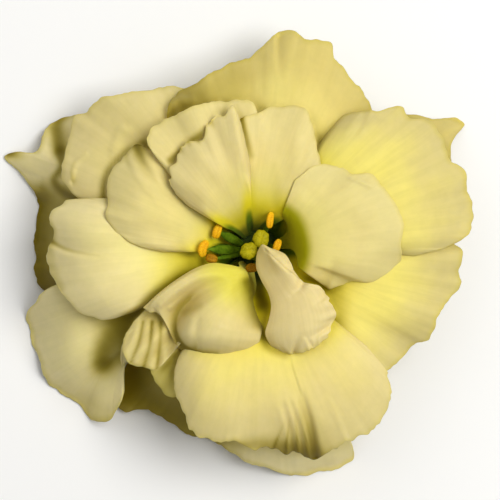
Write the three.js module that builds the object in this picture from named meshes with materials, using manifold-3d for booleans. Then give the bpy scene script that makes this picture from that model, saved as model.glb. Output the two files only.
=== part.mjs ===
import * as THREE from 'three';
import { mergeVertices } from 'three/addons/utils/BufferGeometryUtils.js';
import Module from 'manifold-3d';

// A double lisianthus flower head, picked with a short stub of its pedicel and resting face up
// on the stub and on the drooping tips of its outer petals. Millimetres, +Z up. The petals
// spring from rings on the receptacle; azimuths are in degrees, counterclockwise from +X.

// Driving dimensions
const petalThickness = 0.35;
const sepalThickness = 0.5;
const seatGap = 0.3;                 // clearance between a piece and what carries it
const pedicelRadius = 1.25;
const receptacleRadius = 5.3;
const receptacleTop = 7.7;           // height of the disc that the petals stand on
const clawBase = receptacleTop + seatGap;
const clawHalfAngle = 16;            // half the arc that a petal's claw takes on its ring
const rowsPerPetal = 8;
const rowCrowding = 1.4;             // rows lie closer together in the steep claw
const clawSteepness = 1.6;
const ring = { outer: 4.9, middle: 4.25, inner: 3.6, core: 2.95, stamen: 2.1 };
const stations = [9, 18, 27, 36, 45]; // radii at which a petal's rise heights are given

// A petal's edge is read from straight above: azimuth, radius. A point at eyeHeight keeps its
// radius, and a lower one is truly a little further out.
const eyeHeight = 20;
const eyeDistance = 500;

const sepalAzimuths = [57, 120, 193, 262, 343];
const sepalPath = [[5.75, 6.9], [8, 8.6], [12, 10.5], [16.5, 11.5], [21, 11.2], [25, 10]];
const sepalWidths = [2.2, 2.4, 2.2, 1.8, 1.2, 0.3];
const sepalKeel = 0.45;

// Turned outlines: radius, height. The ovary's heights count from its seat.
const pedicelProfile = [[pedicelRadius, 0], [pedicelRadius, 3.4], [1.5, 4.3], [2.7, 5], [4.6, 5.7],
  [receptacleRadius, 6.3], [receptacleRadius, receptacleTop]];
const styleRadius = 0.6;
const ovaryProfile = [[1.4, 0], [1.85, 3.9], [1.3, 6.9], [styleRadius, 8.6]];
const styleRoot = 1;                 // how deep the style starts inside the ovary
const stigmaHeight = 22.4;
const stigmaRadius = 1.55;
const stigmaFlatness = 0.75;
const stigmaLobes = [[0.85, 1.95], [-1.25, -0.15]];

const filamentRadius = 0.28;
const filamentBelly = { along: 0.35, lift: 1.5 };
const antherHalfLength = 1.45;
const antherHalfWidth = 0.62;

const degree = Math.PI / 180;
const flower = new THREE.Group();
const finishes = {
  outer: { color: 0xdfd28c, roughness: 0.6 },
  middle: { color: 0xeee2a0, roughness: 0.6 },
  inner: { color: 0xf0e69a, roughness: 0.6 },
  core: { color: 0xebe0ae, roughness: 0.6 },
  sepal: { color: 0x6f8f3c, roughness: 0.55 },
  pedicel: { color: 0x7d9a45, roughness: 0.5 },
  filament: { color: 0xb9c45a, roughness: 0.5 },
  anther: { color: 0xf0ae18, roughness: 0.8 },
  pistil: { color: 0x8f9a3a, roughness: 0.6 },
};

// edge: [azimuth, radius] along the free margin, in order of azimuth
// rise: heights at the stations; cup: how far the sides stand above the middle
// wave: [height, count, start] of the margin's ruffle
// folds: [azimuth, height, half width] of ridges and valleys
const petals = [
  { name: 'outer_petal_right', whorl: 'outer', claw: 25, rise: [14.2, 17.7, 16.8, 9.8, -1.6],
    cup: 0.8, wave: [1.2, 2, 0.1],
    edge: [[-6, 30], [2, 33.5], [10, 36], [18, 36.8], [26, 38], [29.4, 40], [31.2, 42.8],
      [33.5, 42], [35.7, 39.6], [38.6, 37.6], [43, 35], [48, 31.5], [53, 27]] },
  { name: 'outer_petal_top', whorl: 'outer', claw: 83, rise: [16.8, 21, 21, 16.4, 9],
    cup: -0.4, wave: [1.2, 2.5, 0.3],
    edge: [[43, 26], [47, 30.5], [52, 32.7], [62, 34.8], [67.7, 36.5], [70.3, 38.5], [77, 38.1],
      [80, 39.2], [84, 38.4], [88, 35.9], [93, 33.7], [100, 32.8], [108, 31.3], [116, 30.8],
      [122, 29.3], [126, 26]],
    folds: [[84.5, -1.2, 3], [120, 2.2, 6]] },
  { name: 'outer_petal_left', whorl: 'outer', claw: 158, rise: [14, 17.4, 16.8, 11.2, 2.7],
    cup: -0.6, wave: [1.4, 2, 0.55],
    edge: [[136, 29], [140, 36.5], [143.5, 40], [147.5, 42.3], [152, 42.5], [156, 42.1],
      [157.6, 45.2], [159.7, 46.8], [161.6, 44], [165, 40.9], [169, 39.2], [174, 39.4],
      [181, 39.2], [187, 39.2], [191, 38.2], [193.5, 32]] },
  { name: 'outer_petal_lower_left', whorl: 'outer', claw: 213, rise: [14.8, 18.6, 18.2, 12.8, 0],
    cup: -0.6, wave: [1.8, 2, 0.15],
    edge: [[188, 31], [190.5, 37], [193.4, 39.9], [196, 42], [201, 42.4], [207, 42.7], [212, 43.4],
      [216, 42.5], [221, 41.5], [225.7, 41.6], [229.5, 39.8], [231, 35.5], [232, 30]],
    folds: [[206, 1.2, 5]] },
  { name: 'outer_petal_bottom', whorl: 'outer', claw: 268, rise: [13.2, 16.2, 15, 8.6, -3.05],
    cup: 0.5, wave: [1, 2.5, 0.6],
    edge: [[224, 27], [228, 33.5], [231, 36.5], [234, 34.9], [240, 33.9], [246, 34.5], [252, 34.9],
      [258, 34.6], [264, 36.1], [269, 37.8], [274, 38.4], [279, 40.2], [287, 40.7], [294.6, 40.8],
      [296.5, 37.3], [298, 31]] },
  { name: 'middle_petal_upper_right', whorl: 'middle', claw: 32, rise: [19.2, 24.3, 25, 20.8, 13],
    cup: -1, wave: [1.6, 2.5, 0.2],
    edge: [[-2, 28], [0.5, 33], [3, 36.2], [5, 37.6], [9, 38.8], [14, 38.7], [21, 39],
      [25.4, 37.6], [31, 38.2], [37, 38], [41, 35.8], [45, 35.6], [48.5, 32.7], [52, 30.8],
      [56, 29], [58, 26], [60, 20]] },
  { name: 'middle_petal_upper_left', whorl: 'middle', claw: 136, rise: [15.3, 19, 18.8, 14.8, 9],
    cup: -0.8, wave: [1.6, 2, 0.5],
    edge: [[110, 25], [113.7, 31], [120, 33], [128.7, 35.2], [135.6, 38.2], [141, 38.5],
      [144, 39.6], [148.6, 38.6], [152, 37.6], [156, 37.2], [159, 36.4], [162, 34.5],
      [164, 32], [166, 27]],
    folds: [[150, 1.4, 4]] },
  { name: 'middle_petal_left', whorl: 'middle', claw: 182, rise: [17.2, 21.8, 22.6, 18.6, 12],
    cup: -1.2, wave: [1.4, 2, 0.8],
    edge: [[161, 28], [164.5, 33.5], [167, 35.2], [169.5, 36.7], [172.5, 36.5], [174.5, 35.5],
      [177, 35.7], [180, 36.8], [183, 37], [187, 36.3], [191.5, 35], [196.5, 33.9], [201, 32],
      [205, 29.1], [207, 24]],
    folds: [[178.5, -1, 3]] },
  { name: 'middle_petal_shaded', whorl: 'middle', claw: 233, rise: [16.5, 20.6, 20.4, 18, 15],
    cup: -0.6, wave: [0.8, 1.5, 0.1],
    edge: [[224, 22], [228, 27.5], [235.6, 29.7], [241, 29.4], [246, 26], [249, 20]] },
  { name: 'middle_petal_bottom', whorl: 'middle', claw: 277, rise: [19.3, 24.6, 25.4, 21, 13],
    cup: -0.9, wave: [1.4, 2, 0.65],
    edge: [[231, 19], [235.5, 25], [238, 27.4], [242.5, 29.6], [247, 32], [251, 33.6], [257, 34],
      [263, 33.8], [269, 32.8], [275, 32.2], [281, 34.5], [286, 37], [290, 37.9], [297, 37.3],
      [304, 37.3], [309, 36.4], [313, 34.6], [317, 31.5], [319, 26]],
    folds: [[281, -2.4, 5], [291, 1, 3]] },
  { name: 'middle_petal_lower_right', whorl: 'middle', claw: 335, rise: [17.6, 22, 22, 17.4, 10],
    cup: -0.8, wave: [1.6, 2.5, 0],
    edge: [[311, 24], [314, 29.5], [317.5, 31.3], [325, 31.9], [329, 32.4], [333, 34.3],
      [340, 33.8], [344, 34.4], [349, 36.4], [354, 35.9], [358, 36.2], [361, 35.4],
      [364, 32.5], [367, 27]] },
  { name: 'inner_petal_right', whorl: 'inner', claw: 14, rise: [22.6, 27.8, 28, 26, 24],
    cup: -1.2, wave: [0.8, 2, 0.3],
    edge: [[-28.4, 14.7], [-19, 17.4], [-16, 20.7], [-12, 23.1], [-7, 25], [-1, 25.8],
      [4, 25.5], [10, 26.2], [17, 25.8], [24, 25.2], [30, 24.6], [34.5, 23.8], [38, 21.7],
      [45, 20.6], [54, 18.6], [61, 14]] },
  { name: 'inner_petal_top', whorl: 'inner', claw: 73, rise: [21.4, 26.7, 27.5, 26, 24],
    cup: -0.8, wave: [0.8, 1.5, 0.7],
    edge: [[51, 13], [54.8, 18.8], [59, 20.8], [64.6, 23.6], [69, 25.8], [72, 26.3],
      [78, 26], [84, 25.2], [89, 24.2], [93.5, 23.6], [95.5, 17]] },
  { name: 'inner_petal_behind_top', whorl: 'inner', claw: 112, rise: [19.4, 24.3, 25.7, 26, 25],
    cup: 0.4, wave: [0.8, 2, 0.2],
    edge: [[88.5, 17], [90, 25], [96, 26.4], [106, 27.1], [115, 27.4], [124.6, 28.1],
      [131.5, 28], [136, 26], [139, 20]] },
  { name: 'inner_petal_left', whorl: 'inner', claw: 160, rise: [18.6, 23.6, 24.8, 24, 22],
    cup: -0.2, wave: [1, 1.5, 0.4],
    edge: [[134, 20], [138, 27.6], [145, 28.7], [152, 29], [158, 28.4], [163, 27.2],
      [167, 27.3], [172, 24.9], [177.6, 21.2], [181, 16.5]],
    folds: [[146, -0.8, 4]] },
  { name: 'inner_petal_ridged', whorl: 'inner', claw: 218, rise: [20.2, 24.8, 24.6, 22, 20],
    cup: -1, wave: [0.7, 2, 0.1],
    edge: [[210, 19], [213, 27], [216.5, 29.6], [220, 30.3], [226, 29.2], [231, 26.6],
      [233.5, 20]] },
  { name: 'core_petal_frilled', whorl: 'core', claw: 118, rise: [22.8, 28.8, 30.8, 30, 29],
    cup: -0.8, wave: [0.9, 2, 0.55],
    edge: [[94, 14.9], [95.4, 18.5], [97, 22.9], [99, 25.2], [103, 25], [108, 24.1],
      [112.7, 23.1], [116, 21.8], [121, 22], [127, 22], [133, 21.6], [138, 20.6],
      [141.5, 18.9], [144, 14]] },
  { name: 'core_petal_curled', whorl: 'core', claw: 228, at: [4.2, 8, 14, 21],
    rise: [18.4, 25, 29, 27.8], cup: -0.8, wave: [0, 1, 0],
    edge: [[199, 11], [202.5, 17], [207, 22], [211, 21.4], [217, 19.6], [223, 18.9],
      [229, 19.6], [236, 20.2], [246, 20.1], [254, 19.4], [262, 18.2], [269, 16.2], [273, 12]],
    folds: [[206, 1.4, 5], [222, -2, 6], [249, 1.4, 9]] },
  { name: 'core_petal_tongue', whorl: 'core', claw: 330, at: [3.6, 6, 12, 20],
    rise: [18.4, 26.2, 30.8, 30], cup: -0.8, wave: [0.8, 2, 0.4],
    edge: [[274.5, 12.5], [276, 15.6], [280, 17.7], [288, 18.8], [294, 19.7], [299, 20.3],
      [305, 19.3], [312, 19.2], [320, 18.4], [326, 15.8], [331, 12.4]] },
];

// stamens: where the filament stands, and where its anther lies (azimuth, radius, height)
const stamens = [
  { base: 66, anther: [64, 5.8, 22], turn: 80 },
  { base: 160, anther: [154, 7.4, 21.6], turn: 20 },
  { base: 182, anther: [179, 9.6, 22.4], turn: 60 },
  { base: 196, anther: [195, 7.6, 20], turn: -10 },
  { base: 12, anther: [12, 3.9, 18.8], turn: 0 },
  { base: 276, anther: [268, 3.5, 17.4], turn: 110 },
];

function polar(azimuth, radius, height) {
  return new THREE.Vector3(
    radius * Math.cos(azimuth * degree), radius * Math.sin(azimuth * degree), height);
}

// A smooth curve through heights given at rising places, straight past its last one
function smoothCurve(places, heights, place, startScale) {
  const last = places.length - 1;
  const slope = (i) => {
    const before = Math.max(i - 1, 0);
    const after = Math.min(i + 1, last);
    const mean = (heights[after] - heights[before]) / (places[after] - places[before]);
    return i === 0 ? mean * startScale : mean;
  };
  if (place >= places[last]) return heights[last] + slope(last) * (place - places[last]);
  let k = 0;
  while (place > places[k + 1]) k += 1;
  const span = places[k + 1] - places[k];
  const t = Math.max((place - places[k]) / span, 0);
  return heights[k] * (1 + 2 * t) * (1 - t) ** 2 + slope(k) * span * t * (1 - t) ** 2
    + heights[k + 1] * t * t * (3 - 2 * t) + slope(k + 1) * span * t * t * (t - 1);
}

function petalHeight(petal, radius) {
  const places = [ring[petal.whorl], ...(petal.at ?? stations)];
  return smoothCurve(places, [clawBase, ...petal.rise], radius, clawSteepness);
}

function foldHeight(petal, azimuth, reach) {
  let height = 0;
  for (const [middle, rise, halfWidth] of petal.folds ?? []) {
    height += rise * Math.exp(-(((azimuth - middle) / halfWidth) ** 2));
  }
  return height * reach ** 3;
}

function ruffle(petal, across, reach) {
  const [height, count, start] = petal.wave;
  return petal.cup * (2 * across - 1) ** 2 * reach ** 2
    + height * Math.sin(2 * Math.PI * (count * across + start)) * reach ** 4;
}

// Rows of points from the claw to the free margin, one column for each point of the edge
function petalRows(petal) {
  const ringRadius = ring[petal.whorl];
  const first = petal.edge[0][0];
  const sweep = petal.edge[petal.edge.length - 1][0] - first;
  const rows = [];
  for (let j = 0; j <= rowsPerPetal; j += 1) {
    const reach = (j / rowsPerPetal) ** rowCrowding;
    rows.push(petal.edge.map(([azimuth, seenRadius]) => {
      const across = (azimuth - first) / sweep;
      const foot = polar(petal.claw + clawHalfAngle * (2 * across - 1), ringRadius, 0);
      const nearer = (eyeHeight - petalHeight(petal, seenRadius)) / eyeDistance;
      const tip = polar(azimuth, seenRadius * (1 + nearer), 0);
      const point = foot.lerp(tip, reach);
      point.z = petalHeight(petal, Math.hypot(point.x, point.y))
        + foldHeight(petal, azimuth, reach) + ruffle(petal, across, reach);
      return point;
    }));
  }
  return rows;
}

// The closed solid of a sheet given by rows of points, half its thickness on each side
function thicken(rows, thickness) {
  const rowLength = rows[0].length;
  const at = (j, i) => rows[Math.min(Math.max(j, 0), rows.length - 1)][
    Math.min(Math.max(i, 0), rowLength - 1)];
  const positions = [];
  for (const side of [-0.5, 0.5]) {
    rows.forEach((row, j) => row.forEach((point, i) => {
      const along = at(j + 1, i).clone().sub(at(j - 1, i));
      const across = at(j, i + 1).clone().sub(at(j, i - 1));
      const normal = along.cross(across).normalize();
      positions.push(...point.clone().addScaledVector(normal, -side * thickness));
    }));
  }
  const upper = (j, i) => j * rowLength + i;
  const lower = (j, i) => rows.length * rowLength + j * rowLength + i;
  const triangles = [];
  const quad = (a, b, c, d) => triangles.push(a, b, c, a, c, d);
  for (let j = 0; j < rows.length - 1; j += 1) {
    for (let i = 0; i < rowLength - 1; i += 1) {
      quad(upper(j, i), upper(j + 1, i), upper(j + 1, i + 1), upper(j, i + 1));
      quad(lower(j, i), lower(j, i + 1), lower(j + 1, i + 1), lower(j + 1, i));
    }
  }
  const lastRow = rows.length - 1;
  const lastColumn = rowLength - 1;
  for (let i = 0; i < lastColumn; i += 1) {
    quad(upper(0, i), upper(0, i + 1), lower(0, i + 1), lower(0, i));
    quad(upper(lastRow, i + 1), upper(lastRow, i), lower(lastRow, i), lower(lastRow, i + 1));
  }
  for (let j = 0; j < lastRow; j += 1) {
    quad(upper(j + 1, 0), upper(j, 0), lower(j, 0), lower(j + 1, 0));
    quad(upper(j, lastColumn), upper(j + 1, lastColumn), lower(j + 1, lastColumn), lower(j, lastColumn));
  }
  const geometry = new THREE.BufferGeometry();
  geometry.setAttribute('position', new THREE.Float32BufferAttribute(positions, 3));
  geometry.setIndex(triangles);
  return geometry;
}

function addPiece(name, geometry, finish) {
  geometry.computeVertexNormals();
  const material = new THREE.MeshStandardMaterial({ ...finishes[finish], metalness: 0 });
  const mesh = new THREE.Mesh(geometry, material);
  mesh.name = name;
  flower.add(mesh);
  return mesh;
}

// A narrow keeled blade that leaves the receptacle's rim and spreads under the petals
function sepalRows() {
  return sepalPath.map(([radius, height], j) => [-1, 0, 1].map((side) => new THREE.Vector3(
    radius, side * sepalWidths[j] / 2, height + (side === 0 ? -sepalKeel : 0))));
}

// A solid turned about Z from its outline, closed at both ends on the axis
function turned(profile, foot, segments) {
  const outline = [[0, profile[0][1]], ...profile, [0, profile[profile.length - 1][1]]];
  const points = outline.map(([radius, height]) => new THREE.Vector2(radius, foot + height));
  return new THREE.LatheGeometry(points, segments).rotateX(Math.PI / 2);
}

const wasm = await Module();
wasm.setup();

function toSolid(geometry) {
  const bare = geometry.clone();
  bare.deleteAttribute('normal');
  bare.deleteAttribute('uv');
  const merged = mergeVertices(bare.index ? bare.toNonIndexed() : bare, 1e-4);
  return new wasm.Manifold(new wasm.Mesh({
    numProp: 3,
    vertProperties: new Float32Array(merged.attributes.position.array),
    triVerts: new Uint32Array(merged.index.array),
  }));
}

function fromSolid(solid) {
  const mesh = solid.getMesh();
  const geometry = new THREE.BufferGeometry();
  geometry.setAttribute('position', new THREE.Float32BufferAttribute(mesh.vertProperties, 3));
  geometry.setIndex([...mesh.triVerts]);
  return geometry;
}

// A round rod along a curve through the given points
function rod(points, radius, sides, steps) {
  const section = new THREE.Shape();
  section.absarc(0, 0, radius, 0, 2 * Math.PI);
  return new THREE.ExtrudeGeometry(section, {
    steps, curveSegments: sides, bevelEnabled: false,
    extrudePath: new THREE.CatmullRomCurve3(points),
  });
}

// Ovary, style and the two stigma lobes, grown as one organ
function pistilGeometry() {
  const ovaryTop = clawBase + ovaryProfile[ovaryProfile.length - 1][1];
  const [firstLobe, secondLobe] = stigmaLobes.map(([x, y]) => new THREE.Vector3(x, y, stigmaHeight));
  const style = rod([new THREE.Vector3(0, 0, ovaryTop - styleRoot),
    new THREE.Vector3(0, 0, ovaryTop + styleRoot),
    firstLobe.clone().lerp(secondLobe, 0.5)], styleRadius, 5, 5);
  let solid = toSolid(turned(ovaryProfile, clawBase, 14)).add(toSolid(style));
  for (const lobe of [firstLobe, secondLobe]) {
    const ball = new THREE.SphereGeometry(stigmaRadius, 12, 8).scale(1, 1, stigmaFlatness)
      .translate(...lobe);
    solid = solid.add(toSolid(ball));
  }
  return fromSolid(solid);
}

for (const petal of petals) {
  addPiece(petal.name, thicken(petalRows(petal), petalThickness), petal.whorl);
}

sepalAzimuths.forEach((azimuth, i) => {
  addPiece(`sepal_${i + 1}`, thicken(sepalRows(), sepalThickness), 'sepal').rotation.z = azimuth * degree;
});

addPiece('pedicel', turned(pedicelProfile, 0, 24), 'pedicel');
addPiece('pistil', pistilGeometry(), 'pistil');

stamens.forEach(({ base, anther, turn }, i) => {
  const [azimuth, radius, height] = anther;
  const foot = polar(base, ring.stamen, clawBase + filamentRadius / 2);
  const head = polar(azimuth, radius, height - antherHalfWidth - seatGap);
  const belly = foot.clone().lerp(head, filamentBelly.along);
  belly.z += filamentBelly.lift;
  addPiece(`filament_${i + 1}`, rod([foot, belly, head], filamentRadius, 3, 5), 'filament');
  const pollenSac = new THREE.SphereGeometry(1, 10, 7)
    .scale(antherHalfLength, antherHalfWidth, antherHalfWidth);
  const mesh = addPiece(`anther_${i + 1}`, pollenSac, 'anther');
  mesh.position.copy(polar(azimuth, radius, height));
  mesh.rotation.z = turn * degree;
});

// The origin is under the middle of the whole flower, on the surface that it rests on
const box = new THREE.Box3().setFromObject(flower, true);
const centre = box.getCenter(new THREE.Vector3());
flower.position.set(-centre.x, -centre.y, -box.min.z);

export default flower;
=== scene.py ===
import math
import bpy
import numpy as np
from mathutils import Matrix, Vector


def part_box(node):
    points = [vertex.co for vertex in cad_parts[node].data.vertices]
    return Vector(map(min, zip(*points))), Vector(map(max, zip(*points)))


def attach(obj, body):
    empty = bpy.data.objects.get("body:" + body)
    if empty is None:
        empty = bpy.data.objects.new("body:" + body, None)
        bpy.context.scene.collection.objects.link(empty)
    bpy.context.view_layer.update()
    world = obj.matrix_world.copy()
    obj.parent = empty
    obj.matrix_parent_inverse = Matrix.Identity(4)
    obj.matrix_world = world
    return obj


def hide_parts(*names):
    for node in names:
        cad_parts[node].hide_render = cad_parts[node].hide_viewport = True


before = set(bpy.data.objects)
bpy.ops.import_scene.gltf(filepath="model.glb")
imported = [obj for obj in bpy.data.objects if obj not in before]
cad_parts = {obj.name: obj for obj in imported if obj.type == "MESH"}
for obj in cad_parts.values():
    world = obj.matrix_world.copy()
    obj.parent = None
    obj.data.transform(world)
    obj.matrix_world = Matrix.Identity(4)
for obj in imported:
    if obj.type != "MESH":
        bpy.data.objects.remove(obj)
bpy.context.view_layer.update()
bpy.ops.object.select_all(action="DESELECT")

mm = 0.001
seatGap = 0.3
pedicelLow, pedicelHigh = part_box("pedicel")
axisX = (pedicelLow.x + pedicelHigh.x) / 2  # the flower's own axis stands on the pedicel
axisY = (pedicelLow.y + pedicelHigh.y) / 2
seatZ = pedicelHigh.z / mm + seatGap  # where the petals are seated, mm
print("frame loaded, axis at", round(axisX / mm, 2), round(axisY / mm, 2), "mm")

# camera and light; places called "seen" are points of the 500 point wide picture that the camera gives
view = dict(eyeHeight=20.0, eyeDistance=500.0, fieldWidth=87.5, sideStep=-1.05, points=500, sensor=36.0,
            nearest=0.01)
pointSize = view["fieldWidth"] / view["points"]

cameraData = bpy.data.cameras.new("camera")
cameraData.sensor_width = view["sensor"]
cameraData.lens = view["sensor"] * view["eyeDistance"] / view["fieldWidth"]
cameraData.clip_start = view["nearest"]
camera = bpy.data.objects.new("camera", cameraData)
camera.location = (axisX + view["sideStep"] * mm, axisY, (view["eyeHeight"] + view["eyeDistance"]) * mm)
bpy.context.scene.collection.objects.link(camera)
bpy.context.scene.camera = camera
bpy.context.scene.view_settings.view_transform = "Standard"

lamps = dict(
    keyLight=dict(place=(0.26, 0.08, 0.56), size=0.34, power=3.0, colour=(1.0, 0.99, 0.97)),
    fillLight=dict(place=(-0.12, 0.34, 0.48), size=0.7, power=0.85, colour=(1.0, 1.0, 0.98)),
)
studio = dict(aimHeight=0.02, strength=0.27, colour=(1, 1, 1, 1))


def softLamp(name, place, size, power, colour):
    data = bpy.data.lights.new(name, "AREA")
    data.size = size
    data.energy = power
    data.color = colour
    lamp = bpy.data.objects.new(name, data)
    lamp.location = Vector(place)
    aim = Vector((axisX, axisY, studio["aimHeight"])) - lamp.location
    lamp.rotation_euler = aim.to_track_quat("-Z", "Y").to_euler()
    bpy.context.scene.collection.objects.link(lamp)


for lampName, lamp in lamps.items():
    softLamp(lampName, **lamp)

world = bpy.data.worlds.new("studio")
world.use_nodes = True
world.node_tree.nodes["Background"].inputs["Color"].default_value = studio["colour"]
world.node_tree.nodes["Background"].inputs["Strength"].default_value = studio["strength"]
bpy.context.scene.world = world
print("camera and lights set")


# node helpers
def paint(red, green, blue):
    # a colour named as it is seen, 0 to 255, made linear
    linear = [((c / 255 + 0.055) / 1.055) ** 2.4 if c > 10 else c / 3294.6 for c in (red, green, blue)]
    return (*linear, 1.0)


class Bench:
    # the nodes of one material or group, placed left to right as they are added
    def __init__(self, tree):
        self.tree = tree
        self.count = 0

    def wire(self, node, socket, value):
        if isinstance(value, bpy.types.NodeSocket):
            self.tree.links.new(value, node.inputs[socket])
        else:
            node.inputs[socket].default_value = value

    def add(self, kind, ins=None, **settings):
        node = self.tree.nodes.new(kind)
        node.location = (190 * self.count, -40 * (self.count % 5))
        self.count += 1
        for key, value in settings.items():
            setattr(node, key, value)
        for socket, value in (ins or {}).items():
            self.wire(node, socket, value)
        return node

    def math(self, operation, a, b=0.0, c=0.0):
        return self.add("ShaderNodeMath", {0: a, 1: b, 2: c}, operation=operation).outputs[0]

    def ramp(self, value, low, high, toLow=0.0, toHigh=1.0):
        return self.add("ShaderNodeMapRange", {"Value": value, "From Min": low, "From Max": high,
                        "To Min": toLow, "To Max": toHigh}, interpolation_type="SMOOTHSTEP").outputs[0]

    def mix(self, amount, a, b, blend="MIX"):
        return self.add("ShaderNodeMix", {0: amount, 6: a, 7: b}, data_type="RGBA",
                        blend_type=blend).outputs[2]

    def noise(self, vector, scale, detail=3.0, roughness=0.5, distortion=0.0):
        return self.add("ShaderNodeTexNoise", {"Vector": vector, "Scale": scale, "Detail": detail,
                        "Roughness": roughness, "Distortion": distortion}).outputs["Fac"]

    def cells(self, vector, scale):
        return self.add("ShaderNodeTexVoronoi", {"Vector": vector, "Scale": scale}).outputs["Distance"]

    def shade(self, colour, tone):
        grey = self.add("ShaderNodeCombineColor", {0: tone, 1: tone, 2: tone}).outputs[0]
        return self.mix(1.0, colour, grey, "MULTIPLY")


groupResults = dict(Color="NodeSocketColor", Height="NodeSocketFloat", Roughness="NodeSocketFloat")


def newGroup(name, **given):
    # an input without a value is a colour that each material sets
    tree = bpy.data.node_groups.new(name, "ShaderNodeTree")
    for label, value in given.items():
        kind = "NodeSocketColor" if value is None else "NodeSocketFloat"
        socket = tree.interface.new_socket(label, in_out="INPUT", socket_type=kind)
        if value is not None:
            socket.default_value = value
    for label, kind in groupResults.items():
        tree.interface.new_socket(label, in_out="OUTPUT", socket_type=kind)
    bench = Bench(tree)
    place = bench.add("ShaderNodeTexCoord").outputs["Object"]
    split = bench.add("ShaderNodeSeparateXYZ", {0: bench.add("ShaderNodeUVMap", uv_map="UVMap").outputs[0]})
    return tree, bench, bench.add("NodeGroupInput").outputs, place, split.outputs[0], split.outputs[1]


def closeGroup(bench, colour, height, blotch, values):
    roughness = bench.math("MULTIPLY_ADD", blotch, values["roughnessRange"], values["roughness"])
    bench.add("NodeGroupOutput", dict(Color=colour, Height=height, Roughness=roughness))


def groupMaterial(name, group, values, bump, shine):
    # colour, relief and roughness come from the group, the rest is set on the shader itself
    material = bpy.data.materials.new(name)
    material.use_nodes = True
    b = Bench(material.node_tree)
    pattern = b.add("ShaderNodeGroup", node_tree=group)
    for label, value in values.items():
        pattern.inputs[label].default_value = paint(*value) if isinstance(value, tuple) else value
    relief = b.add("ShaderNodeBump", {"Height": pattern.outputs["Height"], "Strength": bump[0],
                   "Distance": bump[1]})
    shader = material.node_tree.nodes["Principled BSDF"]
    for socket, value in {"Base Color": pattern.outputs["Color"], "Roughness": pattern.outputs["Roughness"],
                          "Normal": relief.outputs[0], **shine}.items():
        b.wire(shader, socket, value)
    return material


# hollows: for each of its two stages, the openness range and the olive tint of the painted shade
blush = dict(clouds=95.0, wander=0.5, radiusWander=4.0, veinStretch=2.2, veinDark=0.36, veinLight=0.6,
             veinStart=0.1, veinFull=0.6, veinTint=paint(150, 140, 30), sideStart=0.3, sideFull=0.95,
             rimStart=0.965, rimTint=paint(206, 186, 70), blotches=420.0, blotchDepth=0.14, cells=5200.0,
             cellDepth=0.15, roughness=0.45, roughnessRange=0.2,
             hollows=((0.12, 0.78, paint(188, 187, 104)), (0.06, 0.5, paint(168, 160, 58))))


def petalBlush():
    # colour from the green claw to the cream margin, with soft veins and blotches, and painted olive shade
    # where the petal sees little sky
    tree, b, given, place, across, reach = newGroup(
        "petalBlush", deep=None, heart=None, middle=None, margin=None, deepRadius=6.5, deepEdge=0.55,
        sideDepth=3.0, heartRadius=8.0, hollows=1.0, marginStart=0.4, marginFull=1.0, veins=26.0,
        veinStrength=0.1, rim=0.3, seed=0.0)
    flat = b.add("ShaderNodeMapping", {"Vector": place, "Location": (-axisX, -axisY, 0.0),
                 "Scale": (1, 1, 0)}).outputs[0]
    radius = b.add("ShaderNodeVectorMath", {0: flat}, operation="LENGTH").outputs["Value"]
    radius = b.math("MULTIPLY", radius, 1 / mm)
    cloud = b.noise(place, blush["clouds"], 2.0)
    wander = b.math("MULTIPLY_ADD", cloud, blush["wander"], -blush["wander"] / 2)
    veinPlace = b.add("ShaderNodeCombineXYZ", {0: b.math("MULTIPLY", across, given["veins"]),
                      1: b.math("MULTIPLY", reach, blush["veinStretch"]), 2: given["seed"]}).outputs[0]
    vein = b.noise(veinPlace, 1.0, 4.0, 0.6, 0.3)
    veinMask = b.math("MULTIPLY", b.ramp(vein, blush["veinDark"], blush["veinLight"], 1.0, 0.0),
                      b.ramp(reach, blush["veinStart"], blush["veinFull"]))
    colour = b.mix(b.ramp(b.math("ADD", reach, wander), given["marginStart"], given["marginFull"]),
                   given["middle"], given["margin"])
    # the sides of each claw stay green further out than its middle
    side = b.ramp(b.math("ABSOLUTE", b.math("MULTIPLY_ADD", across, 2.0, -1.0)), blush["sideStart"],
                  blush["sideFull"])
    wanderRadius = b.math("SUBTRACT", b.math("MULTIPLY_ADD", wander, blush["radiusWander"], radius),
                          b.math("MULTIPLY", side, given["sideDepth"]))
    heartEnd = b.math("MULTIPLY", given["heartRadius"], 2.0)
    colour = b.mix(b.ramp(wanderRadius, given["heartRadius"], heartEnd, 1.0, 0.0), colour, given["heart"])
    deepStart = b.math("MULTIPLY", given["deepRadius"], given["deepEdge"])
    colour = b.mix(b.ramp(wanderRadius, deepStart, given["deepRadius"], 1.0, 0.0), colour, given["deep"])
    colour = b.mix(b.math("MULTIPLY", veinMask, given["veinStrength"]), colour,
                   b.mix(0.5, colour, blush["veinTint"]))
    rim = b.math("MULTIPLY", b.ramp(reach, blush["rimStart"], 1.0), given["rim"])
    colour = b.mix(rim, colour, blush["rimTint"])
    blotch = b.noise(place, blush["blotches"], 4.0, 0.6)
    depth = blush["blotchDepth"]
    colour = b.shade(colour, b.math("MULTIPLY_ADD", blotch, depth, 1 - depth / 2))
    # painted shade: folds and gaps between petals, where little light comes in, are darkened to olive
    openness = b.add("ShaderNodeAttribute", attribute_name="openness").outputs["Fac"]
    for low, high, shadeTint in blush["hollows"]:
        hollow = b.math("MULTIPLY", b.ramp(openness, low, high, 1.0, 0.0), given["hollows"])
        colour = b.mix(hollow, colour, b.mix(1.0, colour, shadeTint, "MULTIPLY"))
    height = b.math("ADD", vein, b.math("MULTIPLY", b.cells(place, blush["cells"]), blush["cellDepth"]))
    closeGroup(b, colour, height, blotch, blush)
    return tree


blushGroup = petalBlush()
tissue = {"Subsurface Weight": 0.35, "Subsurface Radius": (1.0, 0.85, 0.3), "Subsurface Scale": 0.0006,
          "Specular IOR Level": 0.12, "Sheen Weight": 0.02, "Sheen Roughness": 0.5}
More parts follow.
